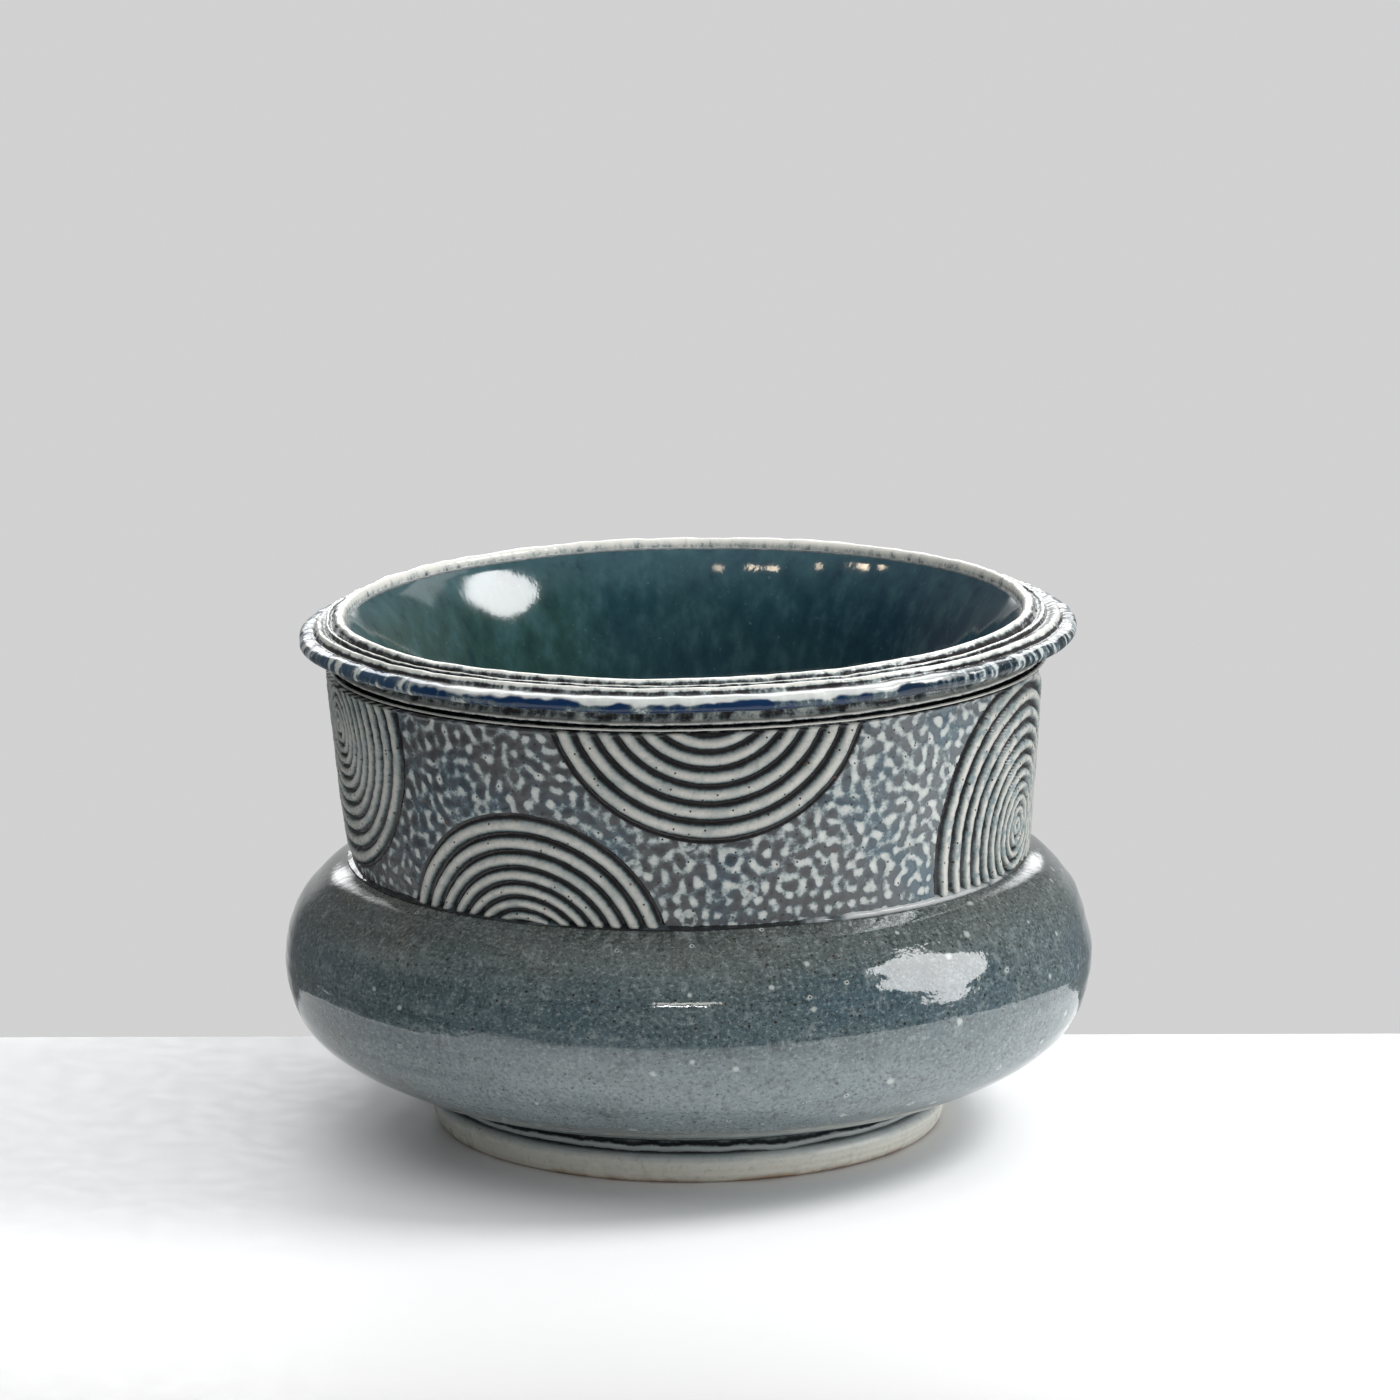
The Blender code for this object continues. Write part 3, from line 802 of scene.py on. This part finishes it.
def make_foot_slip(glaze):
    """Wavy bead pressed into the angle between foot and belly."""
    low, high = FOOT_HEIGHT + 0.2 * MM, 13.6 * MM
    middle = (low + high) / 2
    profile = np.vstack([
        [(76.9 * MM, high), (78.9 * MM, high - 0.1 * MM)],
        curve_through([
            (79.9 * MM, high - 0.9 * MM), (80.9 * MM, middle + 0.5 * MM),
            (81.0 * MM, middle), (80.4 * MM, middle - 0.8 * MM), (79.0 * MM, low + 0.2 * MM),
        ], 0.35 * MM),
        [(76.9 * MM, low)],
    ])
    columns = 480
    wave = soft_noise((len(profile), columns), (0.3 * MM, 1.05 * MM), 5 * MM, seed=31,
                      stretch=1.6)
    drift = soft_noise((1, columns), (1, 1.05 * MM), 16 * MM, seed=32)

    def shape(heading, radius, z):
        live = smoothstep(78 * MM, 80 * MM, radius)
        return radius + wave * 0.22 * MM * live, z + (wave * 0.16 + drift * 0.22) * MM * live

    turned("foot_slip_bead", "foot_slip", profile, columns, (glaze,), shape)


STAMP_RADIUS = 46.6             # millimetres, to the groove round the stamp
FINE_RINGS = (2.9, 0.0214)      # innermost ring's width, and its growth for each millimetre out
EVEN_RINGS = (4.8, 0.0045)
ROUNDELS = (                    # heading in degrees, height of the centre, radius, width, rings
    (4.1, 160.8, 46.6, 1.05, EVEN_RINGS),
    (-27.3, 73.1, 47.0, 1.0, FINE_RINGS),
    (-74.2, 134.9, 44.2, 1.0, FINE_RINGS),
    (70.3, 100.6, 50.0, 1.0, FINE_RINGS),
    (128.0, 160.0, 46.6, 1.0, EVEN_RINGS),
    (165.0, 80.0, 46.6, 1.0, FINE_RINGS),
    (-125.0, 84.0, 46.6, 1.0, FINE_RINGS),
    (-166.0, 152.0, 46.6, 1.0, EVEN_RINGS),
)
GROUND_LEVEL = -1.10 * MM
GROOVE_LEVEL = -1.75 * MM
GROOVE_SHARE = 0.20             # of each ring's half width


def ring_count(distance, rings):
    """Rings of the stamp between its centre and a distance in millimetres."""
    start, growth = rings
    return np.log(1 + growth * distance) / (start * growth)


def relief(around, up):
    """Height of the pressed pattern, from the ridges' tops down, in metres."""
    phase = np.full(around.shape, -1e3)
    for degrees, centre, radius, width, rings in ROUNDELS:
        across = (around - math.radians(degrees) * WRAP_RADIUS) / width
        distance = np.hypot(across, up - centre) * STAMP_RADIUS / radius
        inward = ring_count(STAMP_RADIUS, rings) - ring_count(distance, rings)
        phase = np.maximum(phase, inward)
    turn = np.abs(phase - np.round(phase)) * 2
    ridge = 1 - np.clip(1 - (turn - GROOVE_SHARE) / 0.62, 0, 1) ** 2.6
    stamped = GROOVE_LEVEL * (1 - np.where(turn < GROOVE_SHARE, 0.0, ridge))
    inside = smoothstep(-0.23, -0.09, phase)
    return GROUND_LEVEL + (stamped - GROUND_LEVEL) * inside


def collar_outer_radius(z):
    """The slab's outer side at ridge level."""
    station = np.clip((z - SHOULDER_Z) / (COLLAR_TOP_Z - SHOULDER_Z), 0, 1)
    bottom = SHOULDER_RADIUS - 0.4 * MM
    flare = bottom + (COLLAR_TOP_RADIUS - bottom) * station
    return flare + 0.3 * MM * 4 * station * (1 - station)


def make_collar(glaze):
    columns, rows = 1152, 84
    heights = np.linspace(COLLAR_TOP_Z, SHOULDER_Z + 1.0 * MM, rows)
    outer = np.column_stack([collar_outer_radius(heights), heights])
    inner_bottom = shoulder_point(SHOULDER_RADIUS - 0.4 * MM - WALL_THICKNESS)[1] + 1 * MM
    inner_heights = np.linspace(inner_bottom, COLLAR_TOP_Z, 4)
    inner = np.column_stack([collar_outer_radius(inner_heights) - WALL_THICKNESS, inner_heights])
    profile = np.vstack([outer, inner])
    grid, spacing = (rows, columns), (0.7 * MM, 0.6 * MM)
    dents = soft_noise(grid, spacing, 24 * MM, seed=44)
    skin = soft_noise(grid, spacing, 2.2 * MM, seed=45)
    worms = np.zeros((len(profile), columns))
    worms[:rows] = worm_noise(grid, spacing, 4.9 * MM, seed=46)

    def shape(heading, radius, z):
        pressed = relief(heading[:rows] * WRAP_RADIUS, z[:rows] / MM)
        edge = smoothstep(COLLAR_TOP_Z, COLLAR_TOP_Z - 0.8 * MM, z[:rows])
        seam = np.exp(-((math.pi - np.abs(heading[:rows])) * WRAP_RADIUS / 1.5) ** 4)
        moved = radius.copy()
        moved[:rows] += pressed * edge + (dents * 0.20 + skin * 0.07 - seam * 1.4) * MM
        return moved, z

    turned("collar_relief_slab", "collar_slab", profile, columns, (glaze,), shape, lean=1.0,
           fields={"worms": worms})


def make_seam(glaze):
    """Smeared slip in the upright seam at the back of the collar."""
    rows, columns, spacing = 120, 10, (0.5 * MM, 1)
    heights = np.linspace(SHOULDER_Z + 1.2 * MM, COLLAR_TOP_Z - 0.2 * MM, rows)
    wander = soft_noise((rows, 1), spacing, 7 * MM, seed=51)[:, 0] * 0.25 * MM
    width = 1.15 * MM + soft_noise((rows, 1), spacing, 3 * MM, seed=52)[:, 0] * 0.18 * MM
    points = []
    for k, z in enumerate(heights):
        middle = collar_outer_radius(z) - 1.7 * MM
        for angle in np.linspace(0, 2 * math.pi, columns, endpoint=False):
            radius = middle + math.sin(angle) * 1.0 * MM
            heading = math.pi + (wander[k] + math.cos(angle) * width[k]) / radius
            point = warped(radius * math.sin(heading), -radius * math.cos(heading), z, lean=1.0)
            points.append(tuple(map(float, point)))
    faces = ring_faces(rows, columns, flip=True)
    faces.append(list(range(columns))[::-1])
    faces.append(list(range((rows - 1) * columns, rows * columns)))
    fit(add_mesh("collar_seam_slip", points, faces, (glaze,)), "collar_lap_slip")


def make_joint_slip(glaze):
    """Irregular bead where the slab sits on the shoulder, thickest to the right."""
    columns = 900
    spacing = (1, 2 * math.pi * 110 * MM / columns)
    lumps = soft_noise((1, columns), spacing, 5 * MM, seed=61)
    long_lumps = soft_noise((1, columns), spacing, 28 * MM, seed=62)
    degrees = np.degrees(headings(columns))[None, :]
    right = np.exp(-((degrees - 44.0) / 25) ** 4)
    thick = np.clip(0.10 + 0.08 * long_lumps + 0.66 * right + 0.12 * lumps, 0.02, 1.0)
    bead_radius, bead_z = SHOULDER_RADIUS - 0.55 * MM, SHOULDER_Z + 0.75 * MM
    angles = np.radians(np.linspace(100, -120, 9))
    hidden, hidden_z = shoulder_point(102.0 * MM)
    profile = np.vstack([
        [(hidden, hidden_z + 1.2 * MM)],
        np.column_stack([bead_radius + np.cos(angles) * 0.5 * MM,
                         bead_z + np.sin(angles) * 0.5 * MM]),
        [(hidden, hidden_z + 0.3 * MM)],
    ])

    def shape(heading, radius, z):
        grow = 0.55 + 1.25 * thick
        outer = radius > 106 * MM
        new_radius = np.where(outer, bead_radius + (radius - bead_radius) * grow, radius)
        new_z = np.where(outer, bead_z + (z - bead_z) * grow + lumps * 0.12 * MM, z)
        return new_radius, new_z

    turned("collar_joint_bead", "collar_joint_slip", profile, columns, (glaze,), shape,
           fields={"thick": thick})


def make_neck_slip(glaze):
    """Wiped slip ring between belly and neck, flush with the inside."""
    inner = neck_inner_radius(98 * MM)
    profile = mm((0.2, 98.9), (6.4, 98.9), (7.0, 98.3), (7.0, 97.6), (6.4, 96.9), (0.2, 96.9),
                 (-0.25, 97.5), (-0.25, 98.3)) + np.array([inner, 0])
    turned("neck_slip_ring", "neck_slip", profile, 240, (glaze,))


def make_rim_slip(glaze):
    """Tooled line of slip under the band, with a sharp recess below it."""
    edge = COLLAR_TOP_RADIUS + 0.2 * MM
    low, high = COLLAR_TOP_Z + 0.05 * MM, COLLAR_TOP_Z + 1.65 * MM
    profile = np.vstack([
        [(SLIP_INNER_RADIUS, high)],
        curve_through([
            (edge - 1.6 * MM, high), (edge - 0.5 * MM, high - 0.10 * MM),
            (edge - 0.1 * MM, high - 0.40 * MM), (edge - 0.5 * MM, high - 0.70 * MM),
            (edge - 1.9 * MM, high - 0.85 * MM),
        ], 0.18 * MM),
        [(edge - 1.9 * MM, low), (SLIP_INNER_RADIUS, low)],
    ])
    columns = 720
    wave = soft_noise((1, columns), (1, 1.0 * MM), 5 * MM, seed=71)
    tones = smoothstep(edge - 1.2 * MM, edge - 0.5 * MM, profile[:, :1])

    def shape(heading, radius, z):
        live = smoothstep(110 * MM, 112 * MM, radius)
        return radius + wave * 0.10 * MM * live, z + wave * 0.05 * MM * live

    turned("rim_slip_line", "rim_slip", profile, columns, (glaze,), shape,
           fields={"tone": tones, "lip": np.zeros_like(tones)})


RIM_PROFILE = (                 # radius, height, tone (ridge 1, groove 0), lip share
    (106.0, 162.6, 0.60, 0), (106.2, 163.9, 0.80, 0), (106.9, 165.0, 1.00, 0),
    (108.0, 165.5, 1.00, 0), (109.1, 165.1, 0.80, 0), (109.8, 164.2, 0.25, 0),
    (110.3, 163.1, -0.1, 0), (110.9, 162.7, -0.2, 0), (111.4, 163.1, 0.00, 0),
    (111.9, 163.7, 0.80, 0), (112.4, 163.6, 0.95, 0), (112.8, 162.9, 0.15, 0),
    (113.2, 162.1, -0.4, 0), (113.7, 162.1, -0.1, 0), (114.4, 162.5, 0.30, 0),
    (115.3, 162.7, 0.50, 0), (116.0, 162.4, 1.05, 0), (116.6, 161.5, 0.65, 0),
    (117.1, 160.5, -0.4, 0), (117.6, 160.2, -0.3, 0.2), (118.2, 160.4, 0.50, 0.9),
    (119.4, 160.3, 0.50, 1), (120.7, 159.8, 0.50, 1), (121.5, 158.9, 0.50, 1),
    (121.8, 157.9, 0.50, 1), (121.6, 156.8, 0.50, 1), (120.8, 155.9, 0.45, 1),
    (119.4, 155.5, 0.40, 0.7), (117.0, 155.3, 0.38, 0.1), (113.5, 155.0, 0.36, 0),
    (111.0, 154.6, 0.36, 0), (109.9, 154.0, 0.40, 0), (109.7, 153.0, 0.42, 0),
    (109.7, 151.9, 0.44, 0), (110.2, 151.2, 0.60, 0), (111.2, 151.0, 0.95, 0),
    (111.9, 150.7, 1.00, 0), (111.8, 150.2, 0.40, 0), (111.1, 149.9, -0.5, 0),
)


def make_rim(outside, inside):
    knots = mm(*(row[:2] for row in RIM_PROFILE))
    step = 0.36 * MM
    fine = curve_through(knots, step)
    run = run_along(fine)
    knot_run = [run[np.argmin(np.linalg.norm(fine - knot, axis=1))] for knot in knots]
    heights = np.linspace(99.0 * MM, 162.0 * MM, 34)
    inner = np.column_stack([neck_inner_radius(heights), heights])
    outer = inner[heights < 142 * MM][::-1][::2] + np.array([WALL_THICKNESS * 1.08, 0])
    profile = np.vstack([fine, [(SLIP_INNER_RADIUS, 149.4 * MM)], outer, inner])
    hidden = np.ones(len(profile) - len(fine))
    tones, lips = (
        np.concatenate([np.interp(run, knot_run, [row[k] for row in RIM_PROFILE]), rest])
        for k, rest in ((2, hidden * 0.3), (3, hidden * 0.0)))
    slots = [0] * (len(profile) - len(inner)) + [1] * (len(inner) - 1) + [0]
    mouth = smoothstep(118 * MM, 108.5 * MM, profile[:, 0])
    mouth = mouth * smoothstep(105 * MM, 150 * MM, profile[:, 1])
    mouth[np.argmax(fine[:, 0]):len(profile) - len(inner)] = 0
    columns = 760
    grid, spacing = (len(profile), columns), (step, 2 * math.pi * 115 * MM / columns)
    drip = soft_noise(grid, spacing, 3.6 * MM, seed=81, stretch=1.5)
    roll = soft_noise(grid, spacing, 16 * MM, seed=82)
    wave = soft_noise((1, columns), spacing, 30 * MM, seed=83)

    def shape(heading, radius, z):
        live = smoothstep(106 * MM, 109 * MM, radius) * smoothstep(147 * MM, 152 * MM, z)
        new_radius = radius + (drip * 0.12 + roll * 0.08) * MM * live
        new_radius = new_radius + roll * 0.12 * MM * (1 - live) * (z > 101 * MM)
        new_z = z + (drip * 0.10 * live + wave * 0.10 * smoothstep(140 * MM, 155 * MM, z)) * MM
        return new_radius, new_z

    turned("rim_flange_neck", "rim_neck", profile, columns, (outside, inside), shape,
           mouth=mouth, slots=slots, fields={"tone": tones[:, None], "lip": lips[:, None]})


# ---- stage
TABLE_FRONT, TABLE_BACK = -430 * MM, 99 * MM        # it ends close behind the pot
TABLE_LEFT, TABLE_RIGHT = -330 * MM, 800 * MM
TABLE_EDGE, TABLE_THICKNESS = 4 * MM, 30 * MM
CAMERA_PLACE = (3.8 * MM, -1.808, 0.510)
CAMERA_PITCH, CAMERA_ROLL = math.radians(11.73), math.radians(-0.14)
CAMERA_LENS, CAMERA_SENSOR = 150.9, 36
LAMP_TARGET = (0, 0, 80 * MM)
# Brightness of the plain wall, of the fill light and of the room in reflections
WALL = 0.640
FILL_FRONT, FILL_BACK, FILL_LEFT, FILL_CEILING = 1.10, 0.75, 0.10, 1.24
MIRROR_FRONT, MIRROR_LEFT, MIRROR_RIGHT = 0.05, 0.14, 0.26
MIRROR_WALL, MIRROR_WINDOW, MIRROR_CEILING = 0.55, 4.0, 0.22


def make_table():
    """A white slab with rounded edges, cut off close behind the pot."""
    corners, soft = [], TABLE_EDGE
    for drop, inset in ((-TABLE_THICKNESS, 0.0), (-soft, 0.0), (-soft * 0.3, soft * 0.3),
                        (0.0, soft)):
        front, back = TABLE_FRONT + inset, TABLE_BACK - inset
        left, right = TABLE_LEFT + inset, TABLE_RIGHT - inset
        corners += [(left, front, drop), (right, front, drop),
                    (right, back, drop), (left, back, drop)]
    faces = [(3, 2, 1, 0), (12, 13, 14, 15)] + ring_faces(4, 4, flip=True)
    add_mesh("studio_table", corners, faces, (table_white(),), smooth=False)


def world_light():
    """Plain wall for the camera, even fill for the surfaces, and a dark room in reflections."""
    world = bpy.data.worlds.new("studio")
    bpy.context.scene.world = world
    world.use_nodes = True
    tree = world.node_tree
    tree.nodes.clear()

    def add(kind):
        return tree.nodes.new("ShaderNode" + kind)

    def join(source, socket):
        if isinstance(source, (float, tuple)):
            socket.default_value = source
        else:
            tree.links.new(source, socket)

    def blend(value, low, high, below, above):
        """From below to above as the value goes from low to high."""
        node = add("MapRange")
        node.interpolation_type = "SMOOTHSTEP"
        for k, source in enumerate((value, low, high, below, above)):
            join(source, node.inputs[k])
        return node.outputs[0]

    def background(colour, strength):
        node = add("Background")
        join(colour, node.inputs["Color"])
        join(strength, node.inputs["Strength"])
        return node.outputs[0]

    parts, seen, width = add("SeparateXYZ"), add("LightPath"), add("Math")
    join(add("TexCoord").outputs["Generated"], parts.inputs[0])
    right, back, height = parts.outputs["X"], parts.outputs["Y"], parts.outputs["Z"]
    width.operation = "ABSOLUTE"
    join(right, width.inputs[0])

    fill = blend(back, -0.2, 0.5, FILL_FRONT, FILL_BACK)
    fill = blend(right, -0.75, 0.05, FILL_LEFT, fill)
    fill = blend(height, 0.50, 0.90, fill, FILL_CEILING)
    side = blend(right, 0.10, 0.75, MIRROR_LEFT, MIRROR_RIGHT)
    front = blend(back, 0.05, 0.40, MIRROR_FRONT, side)
    front = blend(height, 0.70, 0.95, front, MIRROR_CEILING)
    mirrored = blend(back, 0.88, 0.96, front, MIRROR_WALL)
    window = blend(back, 0.05, 0.25, mirrored, MIRROR_WINDOW)
    window = blend(height, 0.82, 0.92, window, mirrored)
    window = blend(height, 0.13, 0.22, mirrored, window)
    mirrored = blend(width.outputs[0], 0.26, 0.40, window, mirrored)
    room = blend(seen.outputs["Is Glossy Ray"], 0.0, 1.0, fill, mirrored)

    choose, output = add("MixShader"), add("OutputWorld")
    join(seen.outputs["Is Camera Ray"], choose.inputs[0])
    join(background((0.985, 0.995, 1.0, 1.0), room), choose.inputs[1])
    join(background((WALL, WALL, WALL, 1.0), 1.0), choose.inputs[2])
    join(choose.outputs[0], output.inputs["Surface"])


def lamp(name, pieces, heading, elevation, distance, size, power, shape="ELLIPSE",
         tint=(1, 1, 1)):
    """Area light at a heading from the front and an elevation, lighting the named pieces."""
    data = bpy.data.lights.new(name, "AREA")
    data.shape = shape
    data.size, data.size_y = size
    data.energy = power
    data.color = tint
    light = bpy.data.objects.new(name, data)
    a, e = math.radians(heading), math.radians(elevation)
    away = np.array([math.sin(a) * math.cos(e), -math.cos(a) * math.cos(e), math.sin(e)])
    light.location = np.array(LAMP_TARGET) + away * distance
    light.rotation_euler = Vector(away.tolist()).to_track_quat("Z", "Y").to_euler()
    light.visible_camera = False
    group = bpy.data.collections.new(name + "_pieces")
    for piece in pieces:
        group.objects.link(bpy.data.objects[piece])
    light.light_linking.receiver_collection = group
    bpy.context.scene.collection.objects.link(light)


CEILING_LAMPS = (               # heading, elevation and power of the warm lamps overhead
    (-20, 64.5, 0.26), (-50, 61, 0.364), (-74, 57.5, 0.26), (-92, 53, 0.52), (-103, 49, 0.364),
)
BELLY, RIM, TABLE = ("belly_thrown",), ("rim_flange_neck",), ("studio_table",)
LOW_PIECES = BELLY + ("foot_ring_turned", "foot_slip_bead")
HIGH_PIECES = RIM + ("rim_slip_line", "collar_relief_slab", "collar_seam_slip",
                     "collar_joint_bead", "neck_slip_ring") + TABLE


def make_lights():
    """One softbox on the right, a little lower for the belly than for the rim."""
    lamp("softbox_low", LOW_PIECES, 77, 26, 1.5, (0.98, 1.30), 14)
    lamp("softbox_high", HIGH_PIECES, 90, 47, 1.5, (0.70, 0.48), 11)
    lamp("softbox_table", TABLE, 92, 40, 1.5, (0.70, 0.60), 6)
    lamp("softbox_back", HIGH_PIECES, 127, 42, 1.8, (0.40, 0.60), 1.0, "RECTANGLE")
    lamp("strip_front", BELLY, -2, 19, 1.8, (0.40, 0.016), 1.8, "RECTANGLE")
    lamp("glow_front", BELLY, -1, 28, 1.8, (0.60, 0.24), 1.5, tint=(1, 0.95, 0.87))
    for heading, elevation, power in CEILING_LAMPS:
        lamp("ceiling_lamp", RIM, heading, elevation, 2.0, (0.10, 0.10), power, "DISK",
             (1.0, 0.82, 0.62))


def make_camera():
    data = bpy.data.cameras.new("camera")
    data.sensor_width, data.lens = CAMERA_SENSOR, CAMERA_LENS
    camera = bpy.data.objects.new("camera", data)
    camera.location = CAMERA_PLACE
    aim = Matrix.Rotation(math.pi / 2 - CAMERA_PITCH, 3, "X")
    camera.rotation_euler = (aim @ Matrix.Rotation(CAMERA_ROLL, 3, "Z")).to_euler()
    bpy.context.scene.collection.objects.link(camera)
    bpy.context.scene.camera = camera
    bpy.context.scene.view_settings.view_transform = "Standard"


# ---- assembly
inside = inside_glaze()
clay = bare_clay()
make_foot(foot_glaze(), clay)
make_foot_slip(foot_slip_glaze())
make_belly(belly_glaze(), inside, clay)
make_neck_slip(inside)
rim_coat = rim_glaze()
make_rim(rim_coat, inside)
make_rim_slip(rim_coat)
make_collar(collar_glaze())
make_seam(seam_glaze())
make_joint_slip(joint_glaze())
make_table()
world_light()
make_lights()
make_camera()
